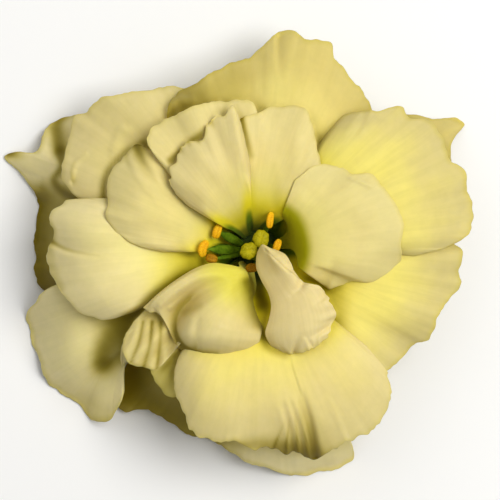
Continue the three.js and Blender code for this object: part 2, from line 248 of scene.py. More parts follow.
# values that several petals' looks share
usualPetal = dict(deep=(112, 138, 14), heart=(236, 218, 40))
outside = dict(deep=(84, 108, 8), deepRadius=7.5, heartRadius=11, rim=0.5)
between = dict(deepRadius=7.5, heartRadius=10.5)
inside = dict(marginStart=0.2, marginFull=0.8)


def petalMaterial(name, middle, margin, **others):
    return groupMaterial(name, blushGroup, {**usualPetal, "middle": middle, "margin": margin, **others},
                         (0.25, 0.00005), tissue)


petalLooks = dict(
    outer=petalMaterial("outerPetal", (234, 217, 127), (214, 193, 116), **outside, seed=1.0),
    # painted light: a lighter copy of the outer petal's colours, for the low outer petals on the side away
    # from the key lamp
    pale=petalMaterial("paintedLightOuterPetal", (246, 229, 150), (244, 224, 162), **outside, seed=1.5),
    middle=petalMaterial("middlePetal", (238, 221, 118), (232, 211, 144), **between, seed=2.0,
                         marginStart=0.3, marginFull=0.9),
    # painted light: a lighter copy of the middle petal's colours, for the left petal that faces away from the
    # key lamp
    light=petalMaterial("paintedLightMiddlePetal", (248, 232, 144), (246, 225, 160), **between, seed=2.8,
                        marginStart=0.3, marginFull=0.9),
    # darker margin: partly the petals' own ochre tint, partly painted shade where the margins turn down away
    # from the lamps
    ochreAndShadedMargin=petalMaterial("ochreAndShadedMarginPetal", (239, 222, 116), (214, 196, 128), **between, seed=2.2,
                        marginStart=0.5, veinStrength=0.15, rim=0.5),
    shaded=petalMaterial("shadedMiddlePetal", (204, 188, 92), (214, 198, 118), **between, seed=2.5),
    inner=petalMaterial("innerPetal", (236, 219, 130), (234, 213, 142), **inside, seed=3.0,
                        deepRadius=5.2, heartRadius=6.4),
    olive=petalMaterial("oliveThroatPetal", (237, 221, 132), (236, 216, 142), **inside, seed=3.5,
                        deep=(170, 166, 8), deepRadius=10.4, deepEdge=0.82, sideDepth=0, heartRadius=5.5),
    core=petalMaterial("corePetal", (232, 215, 128), (232, 211, 144), **inside, seed=4.0,
                       deepRadius=4.8, heartRadius=4.8),
    curled=petalMaterial("curledPetal", (232, 215, 130), (232, 211, 144), **inside, seed=4.5,
                         heart=(226, 214, 84), deepRadius=3.2, sideDepth=0, heartRadius=6.5),
    tongue=petalMaterial("tonguePetal", (222, 203, 140), (230, 209, 148), seed=5.0, deepRadius=0.1,
                         sideDepth=0, heartRadius=0.1, marginStart=0.2, marginFull=0.7),
)
petalBacks = {}
for part in ("outer", "middle", "inner", "core", "curled", "tongue"):
    green = dict(deepRadius=0.1, heartRadius=0.1) if part == "tongue" else dict(deepRadius=7, heartRadius=9)
    petalBacks[part] = petalMaterial(part + "PetalBack", (222, 210, 120), (222, 204, 138), **green,
                                     seed=6.0, heart=(196, 192, 60), hollows=0, veinStrength=0.25)

skin = dict(streakStretch=1.5, blotches=900.0, blotchDepth=0.4, toneRange=0.9, toneShift=-0.15, darkTone=0.2,
            lightTone=0.8, roughness=0.4, roughnessRange=0.25)


def softSkin():
    # two tones in streaks along the piece and in fine specks, for stalks, sepals and stamens
    tree, b, given, place, across, reach = newGroup(
        "softSkin", light=None, dark=None, tip=None, tipStart=0.8, streaks=12.0, specks=2000.0,
        speckShare=0.3)
    streakPlace = b.add("ShaderNodeCombineXYZ", {0: b.math("MULTIPLY", across, given["streaks"]),
                        1: b.math("MULTIPLY", reach, skin["streakStretch"])}).outputs[0]
    streak = b.noise(streakPlace, 1.0, 3.0, 0.55, 0.2)
    speck = b.cells(place, given["specks"])
    blotch = b.noise(place, skin["blotches"], 3.0, 0.6)
    tone = b.add("ShaderNodeMix", {0: given["speckShare"], 2: streak, 3: speck}).outputs[0]
    tone = b.math("MULTIPLY_ADD", tone, skin["toneRange"], skin["toneShift"])
    tone = b.math("MULTIPLY_ADD", blotch, skin["blotchDepth"], tone)
    colour = b.mix(b.ramp(tone, skin["darkTone"], skin["lightTone"]), given["dark"], given["light"])
    colour = b.mix(b.ramp(reach, given["tipStart"], 1.0), colour, given["tip"])
    closeGroup(b, colour, tone, blotch, skin)
    return tree


skinGroup = softSkin()
waxy = {"Subsurface Weight": 0.15, "Subsurface Radius": (1.0, 0.9, 0.3), "Subsurface Scale": 0.0004,
        "Specular IOR Level": 0.15}


def skinMaterial(name, light, dark, depth=0.00006, **others):
    return groupMaterial(name, skinGroup, {"light": light, "dark": dark, "tip": light, **others},
                         (0.6, depth), waxy)


pollen = dict(specks=7400, speckShare=0.8, depth=0.00014, streaks=6)
looks = dict(
    stalk=skinMaterial("stalkSkin", (142, 168, 78), (96, 130, 44), streaks=20),
    throat=skinMaterial("throatSkin", (84, 110, 10), (40, 62, 4), streaks=9),
    cut=skinMaterial("cutEnd", (196, 204, 130), (150, 168, 80), specks=5200, speckShare=0.8),
    sepal=skinMaterial("sepalSkin", (134, 160, 66), (84, 116, 36), tip=(150, 160, 70), tipStart=0.75,
                       streaks=16),
    ovary=skinMaterial("ovarySkin", (128, 150, 36), (84, 108, 20), streaks=14),
    stigma=skinMaterial("stigmaVelvet", (188, 174, 18), (138, 134, 6), specks=7800, speckShare=0.6,
                        depth=0.00005),
    filament=skinMaterial("filamentSkin", (114, 142, 22), (54, 86, 6), streaks=5),
    anther=skinMaterial("goldenPollen", (252, 204, 24), (228, 150, 0), **pollen),
    ripeAnther=skinMaterial("brownPollen", (204, 146, 14), (146, 100, 2), **pollen),
)
print("finishes made")


# sheet tools
def throughPoints(points, perSpan):
    # a smooth line through the points, perSpan steps between each two
    points = np.array(points, float)
    padded = np.concatenate([2 * points[:1] - points[1:2], points, 2 * points[-1:] - points[-2:-1]])
    line = []
    for i in range(len(points) - 1):
        a, b, c, d = padded[i:i + 4]
        for t in np.linspace(0, 1, perSpan, endpoint=False):
            line.append(0.5 * (2 * b + (c - a) * t + (2 * a - 5 * b + 4 * c - d) * t ** 2
                               + (3 * b - a - 3 * c + d) * t ** 3))
    line.append(points[-1])
    return np.array(line)


def smoothStep(x, low, high):
    t = np.clip((x - low) / (high - low), 0, 1)
    return t * t * (3 - 2 * t)


def lengthAlong(line):
    # how far each point of a line lies from its start
    return np.concatenate([[0], np.cumsum(np.linalg.norm(np.diff(line, axis=0), axis=1))])


def polar(azimuth, radius, height):
    turn = math.radians(azimuth)
    return np.array([radius * math.cos(turn), radius * math.sin(turn), height])


def ripple(length, waves, rng):
    # a wavy line along a margin, each wave drifting so that it isn't regular; waves in mm
    line = np.zeros_like(length)
    for wavelength, height in waves:
        drift = 0.3 * wavelength * np.sin(2 * math.pi * length / (wavelength * 3.7) + rng.uniform(0, 6.3))
        line += height * np.sin(2 * math.pi * (length + drift) / wavelength + rng.uniform(0, 6.3))
    return line


def blurred(values, times):
    for _ in range(times):
        wide = np.pad(values, 1, mode="edge")
        values = (wide[:-2, 1:-1] + wide[2:, 1:-1] + wide[1:-1, :-2] + wide[1:-1, 2:]
                  + 4 * wide[1:-1, 1:-1]) / 8
    return values


def spreadAt(z):
    return (view["eyeHeight"] + view["eyeDistance"] - z) / view["eyeDistance"] * pointSize


def planOf(seenX, seenY, z):
    # from a picture point at height z to mm from the axis, and back in seenOf
    middle = view["points"] / 2
    return (seenX - middle) * spreadAt(z) + view["sideStep"], (middle - seenY) * spreadAt(z)


def seenOf(x, y, z):
    middle = view["points"] / 2
    return (x - view["sideStep"]) / spreadAt(z) + middle, middle - y / spreadAt(z)


def foldHeight(seenX, seenY, fold):
    # a ridge (or furrow) along a line traced on the picture; it may be steeper on one side
    line, high, wide = fold
    line = throughPoints(np.reshape(line, (-1, 2)), 6)
    first, last = np.broadcast_to(high, 2)
    left, right = np.broadcast_to(wide, 2)
    nearest = np.full(seenX.shape, np.inf)
    lift = np.zeros(seenX.shape)
    for i in range(len(line) - 1):
        ax, ay = line[i]
        dx, dy = line[i + 1] - line[i]
        t = np.clip(((seenX - ax) * dx + (seenY - ay) * dy) / (dx * dx + dy * dy), 0, 1)
        offX, offY = seenX - ax - t * dx, seenY - ay - t * dy
        distance = np.hypot(offX, offY)
        width = np.where(dx * offY - dy * offX < 0, left, right) / pointSize
        height = first + (last - first) * (i + t) / (len(line) - 1)
        closer = distance < nearest
        nearest = np.where(closer, distance, nearest)
        lift = np.where(closer, height * np.exp(-(distance / width) ** 2), lift)
    return lift


# heights of the petals laid so far, seen from above, so that the next one can rest on them
pile = dict(step=0.5, half=56.0, gap=0.32, bare=-99.0, spareBlur=25, pushes=14, pushBlur=2, throatRadius=8)
pileTop = np.full((int(2 * pile["half"] / pile["step"]),) * 2, pile["bare"])


def aboveFloor(z):
    # tips that would sink into the floor are laid along it
    return np.where(z < 1, 0.25 + 0.75 * np.exp(np.minimum(z - 1, 0)), z)


def pileCells(x, y):
    cells = [((c + pile["half"]) / pile["step"]).astype(int) for c in (y, x)]
    return tuple(np.clip(cells, 1, len(pileTop) - 2))


# waves: wavelength and height; sways: height, waves across and outwards; the rolls bend the margin down
sheet = dict(firstSeed=11, rows=84, marginSpans=24, marginStep=0.36, shoulderDrop=1.5, waistStart=6.2,
             stillSides=12, stillEnd=(8, 14), thickness=0.22, thinEdge=0.4, lip=0.15, lipWidth=0.9,
             evenEnds=4, toothWaves=[(7.5, 0.2), (3.9, 0.12), (1.9, 0.07)],
             frillWaves=[(8.7, 0.5), (4.6, 0.28), (2.3, 0.1)], frillWidth=3.2, frillCurve=1.3,
             sways=[(0.3, 1.6, 0.5), (0.2, 2.9, -0.8)], swayStart=(0.3, 0.8), freeRoll=1.2, rollWidth=6.5,
             rollCurve=1.7, nearRoll=0.85, farRoll=0.15, farWidth=14)


def restOnPile(x, y, z, fromEdge, drop):
    # the margin rolls down towards what lies below it, then nothing stays closer than the gap
    below = pileTop[pileCells(x, y)]
    empty = below < pile["bare"] / 2
    spare = np.clip(np.where(empty, sheet["freeRoll"], z - below - pile["gap"]), 0, drop)
    roll = np.clip(1 - fromEdge / sheet["rollWidth"], 0, 1) ** sheet["rollCurve"]
    wideRoll = np.clip(1 - fromEdge / sheet["farWidth"], 0, 1)
    z = z - blurred(spare, pile["spareBlur"]) * (sheet["nearRoll"] * roll + sheet["farRoll"] * wideRoll)
    push = np.clip(below + pile["gap"] - z, 0, None)
    push = np.where(empty | (np.hypot(x, y) < pile["throatRadius"]), 0, push)
    cover = push
    for _ in range(pile["pushes"]):
        cover = np.maximum(push, blurred(cover, pile["pushBlur"]))
    return z + cover


def layOnPile(x, y, z):
    rows, columns = pileCells(x, y)
    for i in (-1, 0, 1):
        for j in (-1, 0, 1):
            np.maximum.at(pileTop, (rows + i, columns + j), z)


def handOver(piece, node):
    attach(piece, "root")
    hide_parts(node)
    piece.select_set(False)


laid = []  # every sheet with its places in mm and its traced painted shade


def finishSheet(name, node, x, y, z, across, reach, look, back, shades=(),
                thickness=sheet["thickness"]):
    # a grid moved into place, thickened, and coloured apart above and below
    x, y, z, across = x[:, ::-1], y[:, ::-1], z[:, ::-1], across[::-1]  # so that the front faces up
    rows, columns = x.shape
    bpy.ops.mesh.primitive_grid_add(x_subdivisions=columns - 1, y_subdivisions=rows - 1, size=1)
    piece = bpy.context.object
    piece.name = name
    mesh = piece.data
    points = np.stack([x * mm + axisX, y * mm + axisY, z * mm], 2)
    mesh.vertices.foreach_set("co", points.reshape(-1))
    corners = np.empty(len(mesh.loops), np.int32)
    mesh.loops.foreach_get("vertex_index", corners)
    where = np.stack([np.tile(across, rows), np.repeat(reach, columns)], 1)
    mesh.uv_layers[0].data.foreach_set("uv", where[corners].reshape(-1))
    body = piece.vertex_groups.new(name="body")
    weight = 1 - smoothStep(reach, 0.5, 1.0)
    for row in range(rows):
        body.add(list(range(row * columns, (row + 1) * columns)), float(weight[row]), "REPLACE")
    mesh.update()
    mesh.materials.append(look)
    mesh.materials.append(back)
    solid = piece.modifiers.new("thickness", "SOLIDIFY")
    solid.thickness = thickness * mm
    solid.offset = 0
    solid.vertex_group = "body"
    solid.thickness_vertex_group = sheet["thinEdge"]
    solid.material_offset = 1
    bpy.ops.object.modifier_apply(modifier=solid.name)
    bpy.ops.object.shade_smooth()
    handOver(piece, node)
    laid.append((piece, x, y, z, shades))


# the sky map behind the painted shade: its step and half width, how far it looks in steps, and how much a
# covered part keeps
sky = dict(step=0.35, half=56.0, finer=3, turns=16, reaches=(1, 2, 3, 4, 6, 8, 12, 16, 20), blur=2,
           topBlur=3, keptUnder=0.55, lostUnder=0.45, coverDepth=2.5, heartKept=0.1, heartLost=0.9,
           heartStart=6, heartEnd=13)


def finer(values, times):
    # more points between those of a grid
    for _ in range(2):
        at = np.linspace(0, len(values) - 1, times * (len(values) - 1) + 1)
        low = np.minimum(at.astype(int), len(values) - 2)
        values = (values[low] + (values[low + 1] - values[low]) * (at - low)[:, None]).T
    return values


def markPaintedShade():
    # painted shade: how much of the sky each point of each petal sees, as a vertex attribute that darkens the
    # petal's colour where it is low
    step, half = sky["step"], sky["half"]
    size = int(2 * half / step)
    top = np.zeros((size, size))
    for piece, x, y, z, shades in laid:
        x, y, z = (finer(values, sky["finer"]).ravel() for values in (x, y, z))
        order = np.argsort(z, kind="stable")
        cells = (((y + half) / step).astype(int), ((x + half) / step).astype(int))
        lifted = np.zeros((size, size))
        lifted[cells[0][order], cells[1][order]] = z[order]
        top = np.maximum(top, lifted)
    light = np.zeros_like(top)
    for turn in np.arange(sky["turns"]) * 2 * math.pi / sky["turns"]:
        horizon = np.zeros_like(top)
        for reach in sky["reaches"]:
            shift = (round(-reach * math.sin(turn)), round(-reach * math.cos(turn)))
            horizon = np.maximum(horizon, (np.roll(top, shift, (0, 1)) - top) / (reach * step))
        light += 1 / (1 + horizon ** 2) / sky["turns"]
    light, soft = blurred(light, sky["blur"]), blurred(top, sky["topBlur"])
    for piece, x, y, z, shades in laid:
        mesh = piece.data
        points = np.empty(len(mesh.vertices) * 3)
        mesh.vertices.foreach_get("co", points)
        points = points.reshape(-1, 3) / mm - np.array([axisX / mm, axisY / mm, 0])
        at = (points[:, 1::-1] + half) / step - 0.5
        low = at.astype(int)
        part = at - low
        value, over = (sum(field[low[:, 0] + i, low[:, 1] + j] * np.abs(1 - i - part[:, 0])
                           * np.abs(1 - j - part[:, 1]) for i in (0, 1) for j in (0, 1))
                       for field in (light, soft))
        covered = np.exp(-np.clip(over - points[:, 2] - 1, 0, None) / sky["coverDepth"])
        value = value * (sky["keptUnder"] + sky["lostUnder"] * covered)
        outward = smoothStep(np.hypot(points[:, 0], points[:, 1]), sky["heartStart"], sky["heartEnd"])
        value = 1 - (1 - value) * (sky["heartKept"] + sky["heartLost"] * outward)
        # the traced shades darken it further as painted shade; those below 0 lighten it as painted light
        for shade in shades:
            value = value * (1 - foldHeight(*seenOf(*points.T), shade))
        mesh.attributes.new("openness", "FLOAT", "POINT").data.foreach_set("value", value)
    print("openness marked on", len(laid), "sheets")


def nodeOf(name):
    # outerPetalTop stands for the node outer_petal_top
    return "".join("_" + letter.lower() if letter.isupper() else letter for letter in name)


# petals, from the lowest of the pile to the highest
# foot: distance of the claw from the axis; halfAngle: half of the arc that the claw stands on
# shoulder: where the claw leaves the throat, and how high; rise: heights at the stations
# edge: azimuth and radius in mm, as seen from above, of points along the free margin, counterclockwise
# cup: sides above the middle; wave: height, count and start of the margin's long waves
# drop: most that the margin rolls; drawnIn: how far its two sides are drawn in halfway
# folds: ridges traced on the picture: x, y of each point, height from start to end, width left and right
# shades: painted shade traced in the same way, with how dark it is, 0 to 1; below 0 they are painted light
rings = dict(
    outer=dict(foot=4.9, halfAngle=36, waist=1, shoulder=[6.5, 11.5]),
    middle=dict(foot=4.25, halfAngle=30, waist=0.85, shoulder=[6.4, 13.6]),
    inner=dict(foot=3.6, halfAngle=20, waist=0.5, shoulder=[6.3, 16.2]),
    core=dict(foot=2.95, halfAngle=17, waist=0.45, shoulder=[6.0, 18.2]),
)
stations = [9, 18, 27, 36, 45]
# what a petal has where its entry says nothing; teeth and frill: its share of the margin's two sets of waves
usual = dict(clawEnd=11.5, drop=4.5, teeth=0.8, frill=0.5, drawnIn=[0, 0], folds=[], shades=[])
petals = dict(
    outerPetalBottom=dict(
        claw=268, look="pale", rise=[13.2, 16.2, 15, 8.6, -3.05], cup=0.5, wave=[1, 2.5, 0.6],
        edge=[(219, 26), (223, 33), (227, 36.2), (231, 36.8), (234, 34.9), (240, 33.9), (246, 34.5),
            (252, 34.9), (258, 34.6), (264, 36.1), (269, 37.8), (274, 38.4), (279, 40.2), (287, 40.7),
            (294.6, 40.8), (296.5, 37.3), (298, 31)],
        folds=[([130, 372, 146, 396, 190, 425], (-7, -6), 6)],
        shades=[([262, 462, 300, 472, 340, 468], -0.4, 3),
            ([124, 385, 148, 402, 200, 432], (0.85, 0.6), 6)]),
    outerPetalLeft=dict(
        claw=158, look="pale", rise=[14, 17.4, 16.8, 11.2, 2.7], cup=-0.6, wave=[1.4, 2, 0.55],
        edge=[(136, 29), (140, 36.5), (143.5, 40), (147.5, 42.3), (152, 42.5), (156, 42.1), (157.6, 45.2),
            (159.7, 46.8), (161.6, 44), (165, 40.9), (169, 39.2), (174, 39.4), (181, 39.2), (187, 39.2),
            (191, 38.2), (193.5, 32)],
        folds=[([8, 153, 30, 152, 50, 148], (1.2, 0.3), (1, 2)), ([44, 205, 40, 250, 46, 300], (-5, -6), 5),
            ([66, 108, 58, 125, 60, 150], -3, 2)],
        shades=[([9, 153, 26, 157], (0.8, 0.35), 1.2), ([42, 166, 52, 184], (-0.5, -0.3), 2.4),
            ([60, 150, 61, 167, 54, 180, 64, 193, 80, 200], (0.5, 0.7), 0.8),
            ([39, 200, 36, 250, 44, 300], (0.75, 0.8), (4.5, 3.6)),
            ([66, 108, 57, 125, 60, 150], 0.6, 1.6)]),
    outerPetalRight=dict(
        claw=25, rise=[14.2, 17.7, 16.8, 9.8, -1.6], cup=0.8, wave=[1.2, 2, 0.1],
        edge=[(-6, 30), (2, 33.5), (10, 36), (18, 36.8), (26, 38), (29.4, 40), (31.2, 42.8), (33.5, 42),
            (35.7, 39.6), (38.6, 37.6), (43, 35), (48, 31.5), (53, 27)],
        folds=[([463, 125, 448, 132, 440, 138], (0.8, 0.3), 1)]),
    middlePetalLowerRight=dict(
        claw=335, look="ochreAndShadedMargin", rise=[17.6, 22, 22, 17.4, 10], cup=-0.8, wave=[1.6, 2.5, 0], drop=2,
        frill=0.8,
        edge=[(311, 24), (314, 29.5), (317.5, 31.3), (325, 31.9), (329, 32.4), (333, 34.3), (340, 33.8),
            (344, 34.4), (349, 36.4), (354, 35.9), (358, 36.2), (361, 35.4), (364, 32.5), (367, 27)],
        shades=[([334, 286, 343, 305, 338, 328], 0.3, 2)]),
    middlePetalUpperLeft=dict(
        claw=136, rise=[15.3, 19, 18.8, 14.8, 9], cup=-0.8, wave=[1.6, 2, 0.5], drop=1.5,
        edge=[(110, 25), (113.7, 31), (120, 33), (128.7, 35.2), (135.6, 38.2), (141, 38.5), (144, 39.6),
            (148.6, 38.6), (152, 37.6), (156, 37.2), (159, 36.4), (162, 34.5), (164, 32), (166, 27)],
        folds=[([72, 178, 75, 166, 86, 155], (0.5, 0.2), (1.6, 0.4)),
            ([112, 150, 118, 133, 124, 129], (0.3, 0.5), (0.5, 1.2))],
        shades=[([84, 154, 75, 160, 71, 170, 72, 180], (0.2, 0.5), (1, 0.3)),
            ([146, 141, 126, 151, 109, 168, 103, 185, 103, 200], (0.3, 0.5), 0.8)]),
    outerPetalLowerLeft=dict(
        claw=213, look="pale", rise=[14.8, 18.6, 18.2, 12.8, 0], cup=-0.6, wave=[1.8, 2, 0.15], drop=0.5,
        drawnIn=[0, 5],
        edge=[(188, 31), (190.5, 37), (193.4, 39.9), (196, 42), (201, 42.4), (207, 42.7), (212, 43.4),
            (216, 42.5), (221, 41.5), (225.7, 41.6), (229.2, 39.9), (229, 37.5), (227.6, 34.8),
            (223.5, 32.2), (219, 30.8)],
        folds=[([118, 318, 106, 345, 116, 385], (-5, -6), 6)],
        shades=[([56, 318, 64, 345], -0.4, 4), ([130, 312, 113, 334, 104, 352, 103, 362], (0.45, 0.78), 3),
            ([128, 334, 124, 358], 0.4, 1.5), ([50, 390, 80, 400, 104, 412], (0.2, 0.35), (3, 8))]),
    middlePetalLeft=dict(
        claw=182, look="light", rise=[17.2, 21.8, 22.6, 18.6, 12], cup=-1.2, wave=[1.4, 2, 0.8], drop=2.5,
        frill=0.35,
        edge=[(161, 28), (164.5, 33.5), (167, 35.2), (169.5, 36.7), (172.5, 36.5), (174.5, 35.5),
            (177, 35.7), (180, 36.8), (183, 37), (187, 36.3), (191.5, 35), (196.5, 33.9), (201, 32),
            (205, 29.1), (207, 24)],
        folds=[([47, 240, 68, 250, 98, 255], (-1.2, -0.2), (1.6, 0.6))],
        shades=[([51, 226, 52, 262, 62, 288], 0.35, 1), ([47, 238, 68, 250, 100, 256], (0.5, 0.3), 0.5),
            ([204, 266, 160, 292, 126, 318], (0.35, 0.55), 1.2)]),
    middlePetalShaded=dict(
        claw=233, look="shaded", rise=[16.5, 20.6, 20.4, 18, 15], cup=-0.6, wave=[0.8, 1.5, 0.1], drop=1,
        edge=[(224, 22), (228, 27.5), (235.6, 29.7), (241, 29.4), (246, 26), (249, 20)],
        shades=[([168, 366, 160, 396], 0.4, 3)]),
    outerPetalTop=dict(
        claw=83, rise=[16.8, 21, 21, 16.4, 9], cup=-2.4, wave=[1.2, 2.5, 0.3], drop=2,
        edge=[(43, 26), (47, 30.5), (52, 32.7), (62, 34.8), (67.7, 36.5), (70.3, 38.5), (77, 38.1),
            (80, 39.2), (84, 38.4), (88, 35.9), (93, 33.7), (100, 32.8), (108, 31.3), (116, 30.8),
            (122, 29.3), (126, 26)],
        folds=[([278, 38, 278, 55, 281, 80], (-0.9, -0.1), (0.9, 0.5)),
            ([262, 60, 262, 90], (-0.3, -0.2), 1),
            ([164, 112, 176, 101, 192, 101], (1.6, 0.6), (0.8, 1.2))],
        shades=[([172, 108, 205, 92, 236, 80], (0.5, 0.42), 5)]),
    innerPetalLeft=dict(
        claw=166, rise=[20.6, 24.2, 24.8, 24, 22], cup=-0.2, wave=[1, 1.5, 0.4], drop=4, frill=0.25,
        edge=[(134, 20), (138, 27.6), (145, 28.7), (152, 29), (158, 28.4), (163, 27.2), (167, 27.3),
            (172, 24.9), (177.6, 21.2), (181, 16.5)],
        folds=[([138, 142, 150, 166, 166, 192], (0.7, 0.1), (1.8, 0.5)),
            ([130, 158, 140, 180, 160, 205], (0.35, 0.1), (1.5, 0.6))],
        shades=[([136, 141, 142, 160, 158, 190], (0.85, 0.2), 1.5),
            ([124, 152, 133, 176, 150, 200], (0.3, 0.1), 0.7)]),
    middlePetalBottom=dict(
        claw=277, rise=[19.3, 24.6, 25.4, 21, 13], cup=-0.9, wave=[1.4, 2, 0.65], drop=1.2, teeth=1.6,
        frill=0.3,
        edge=[(231, 19), (235.5, 25), (238, 27.4), (242.5, 29.6), (247, 32), (251, 33.6), (257, 34),
            (263, 34.1), (269, 34.6), (275, 35.2), (281, 36.6), (286, 38), (290, 37.9), (297, 37.3),
            (304, 37.3), (309, 36.4), (313, 34.6), (317, 31.5), (319, 26)],
        folds=[([302, 395, 311, 425, 317, 458], (-0.3, -2.2), (0.6, 6)),
            ([294, 400, 303, 425, 309, 458], (0.2, 0.9), (0.35, 0.5)),
            ([287, 402, 295, 428, 299, 456], (0.2, 0.8), (0.35, 0.5)),
            ([279, 408, 286, 430, 289, 452], (0.1, 0.7), (0.35, 0.5)),
            ([330, 400, 341, 425, 350, 450], (0.1, 0.5), (0.4, 0.8))],
        shades=[([255, 262, 258, 282, 262, 304], (0.95, 0.8), 1.6),
            ([262, 332, 267, 347, 284, 355], (0.65, 0.45), 1.2),
            ([234, 446, 262, 444, 285, 449, 312, 458], (0.5, 0.55), 1.9),
            ([292, 405, 298, 430, 303, 458], (0.15, 0.5), (2.6, 4.8)),
            ([300, 402, 309, 430, 316, 458], (0.2, 0.5), (5, 0.8)),
            ([285, 422, 277, 440, 272, 456], (0.1, 0.6), (0.22, 0.32)),
            ([290, 418, 287, 440, 285, 458], (0.1, 0.6), (0.22, 0.32)),
            ([295, 414, 297, 438, 297, 458], (0.1, 0.6), (0.22, 0.32)),
            ([299, 410, 305, 436, 308, 458], (0.1, 0.6), (0.22, 0.32))]),
    middlePetalUpperRight=dict(
        claw=32, look="ochreAndShadedMargin", rise=[19.2, 24.3, 25, 20.8, 13], cup=-1, wave=[1.6, 2.5, 0.2], drop=2.5,
        frill=0.8,
        edge=[(-2, 28), (0.5, 33), (3, 36.2), (5, 37.6), (9, 38.8), (14, 38.7), (21, 39), (25.4, 37.6),
            (31, 38.2), (37, 38), (41, 35.8), (45, 35.6), (48.5, 32.7), (52, 30.8), (56, 29), (58, 26),
            (60, 20)],
        folds=[([366, 112, 360, 125, 352, 138], (-0.9, -0.1), (0.6, 1.2))]),
    innerPetalBehindTop=dict(
        claw=112, rise=[19.4, 24.3, 25.7, 26, 25], cup=0.4, wave=[0.8, 2, 0.2], drop=2, frill=0.2,
        edge=[(88.5, 17), (90, 25), (96, 26.4), (106, 27.1), (115, 27.4), (124.6, 28.1), (131.5, 28),
            (136, 26), (139, 20)],
        shades=[([170, 160, 182, 151, 192, 141, 206, 130], (0.6, 0.5), 1)]),
    innerPetalRidged=dict(
        claw=214, rise=[17.6, 21, 20.8, 19.6, 18], cup=-0.5, wave=[0.7, 2, 0.1], drop=1,
        edge=[(207, 18), (209, 23), (213, 27.2), (216.5, 29.4), (221, 29.6), (226.5, 28.6), (230.5, 26.6),
            (230.2, 23), (226, 18.5)],
        folds=[([147, 320, 144, 340, 136, 362], (0.2, 0.4), 0.5),
            ([156, 320, 154, 342, 150, 368], (0.2, 0.45), 0.5),
            ([165, 322, 164, 345, 163, 368], (0.2, 0.4), 0.5),
            ([138, 322, 132, 340, 124, 355], (0.2, 0.35), 0.5)],
        shades=[([152, 322, 144, 366], 0.3, 5), ([152, 322, 150, 344, 144, 366], 0.5, 0.35),
            ([143, 322, 139, 342, 131, 362], (0.4, 0.5), 0.35),
            ([161, 322, 160, 344, 157, 368], (0.4, 0.5), 0.35)]),
    innerPetalTop=dict(
        claw=93, rise=[23.2, 26, 26.5, 25.6, 24], cup=-0.8, wave=[0.8, 1.5, 0.7], drop=3, frill=0.25,
        shoulder=[5.2, 17.6], clawEnd=8.5, waist=0.8,
        edge=[(40, 12), (45, 15.5), (51, 18), (56, 19.6), (59.5, 20.9), (64.6, 23.6), (69, 25.8),
            (72, 26.3), (78, 26), (84, 25.2), (89, 24.2), (95, 23.4), (101, 21), (104, 15)],
        folds=[([254, 108, 256, 130, 258, 165], (-0.4, -0.1), 1)],
        shades=[([240, 112, 244, 130, 251, 155], (0.75, 0.4), 0.8),
            ([275, 166, 277, 188, 279, 210], (0.3, 0.48), (1.7, 1.9))]),
    corePetalFrilled=dict(
        claw=121, rise=[24.8, 28.6, 28.9, 28.5, 27.2], cup=-0.8, wave=[0.4, 2, 0.55], drop=2.5, teeth=2.2,
        frill=0.12, shoulder=[5.2, 18.6], clawEnd=9, waist=0.9,
        edge=[(94, 14.9), (95.4, 18.5), (97, 22.9), (99, 25.2), (103, 25), (108, 24.1), (112.7, 23.1),
            (116, 21.8), (121, 22), (127, 22), (133, 21.6), (138, 20.6), (141.5, 19.3), (144.5, 17.4),
            (147, 14.5)],
        folds=[([233, 108, 241, 130, 248, 160], (0.9, 0.1), (0.5, 2.2)),
            ([213, 126, 220, 145, 228, 165], (-0.5, -0.1), 1)],
        shades=[([173, 158, 180, 163], (0.6, 0.1), 0.6), ([180, 149, 187, 157], (0.6, 0.1), 0.6),
            ([188, 142, 193, 151], (0.6, 0.1), 0.6), ([198, 140, 201, 149], (0.6, 0.1), 0.6),
            ([204, 129, 209, 139], (0.6, 0.1), 0.6), ([211, 122, 216, 132], (0.6, 0.1), 0.6)]),
    innerPetalRight=dict(
        claw=14, look="olive", rise=[24, 26.6, 26.4, 25, 23], cup=-1.2, wave=[0.8, 2, 0.3], drop=5,
        frill=0.2, shoulder=[5, 16.2],
        edge=[(-28.4, 14.7), (-19, 17.4), (-16, 20.7), (-12, 23.1), (-7, 25), (-1, 25.8), (4, 25.5),
            (10, 26.2), (17, 25.8), (24, 25.2), (30, 24.6), (34.5, 23.8), (38, 21.7), (45, 20.6),
            (54, 18.6), (61, 14)],
        folds=[([350, 178, 358, 181, 370, 186], 0.3, 0.4)],
        shades=[([284, 222, 288, 240, 292, 262], (0.6, 0.5), 1.6)]),
)


def petalHeight(petal, radius):
    # height of the petal's middle line over the distance from the axis
    shoulder, shoulderHeight = petal["shoulder"]
    shoulderHeight = min(shoulderHeight, petal["rise"][0] - sheet["shoulderDrop"])
    places = np.array([petal["foot"], shoulder] + stations, float)
    heights = np.array([seatZ, shoulderHeight] + petal["rise"], float)
    slope = np.gradient(heights, places)
    slope[1:-1] = (heights[2:] - heights[:-2]) / (places[2:] - places[:-2])
    k = np.clip(np.searchsorted(places, radius, side="right") - 1, 0, len(places) - 2)
    span = places[k + 1] - places[k]
    t = np.clip((radius - places[k]) / span, 0, 1)
    curve = (heights[k] * (1 + 2 * t) * (1 - t) ** 2 + slope[k] * span * t * (1 - t) ** 2
             + heights[k + 1] * t * t * (3 - 2 * t) + slope[k + 1] * span * t * t * (t - 1))
    return np.where(radius > places[-1], heights[-1] + slope[-1] * (radius - places[-1]), curve)


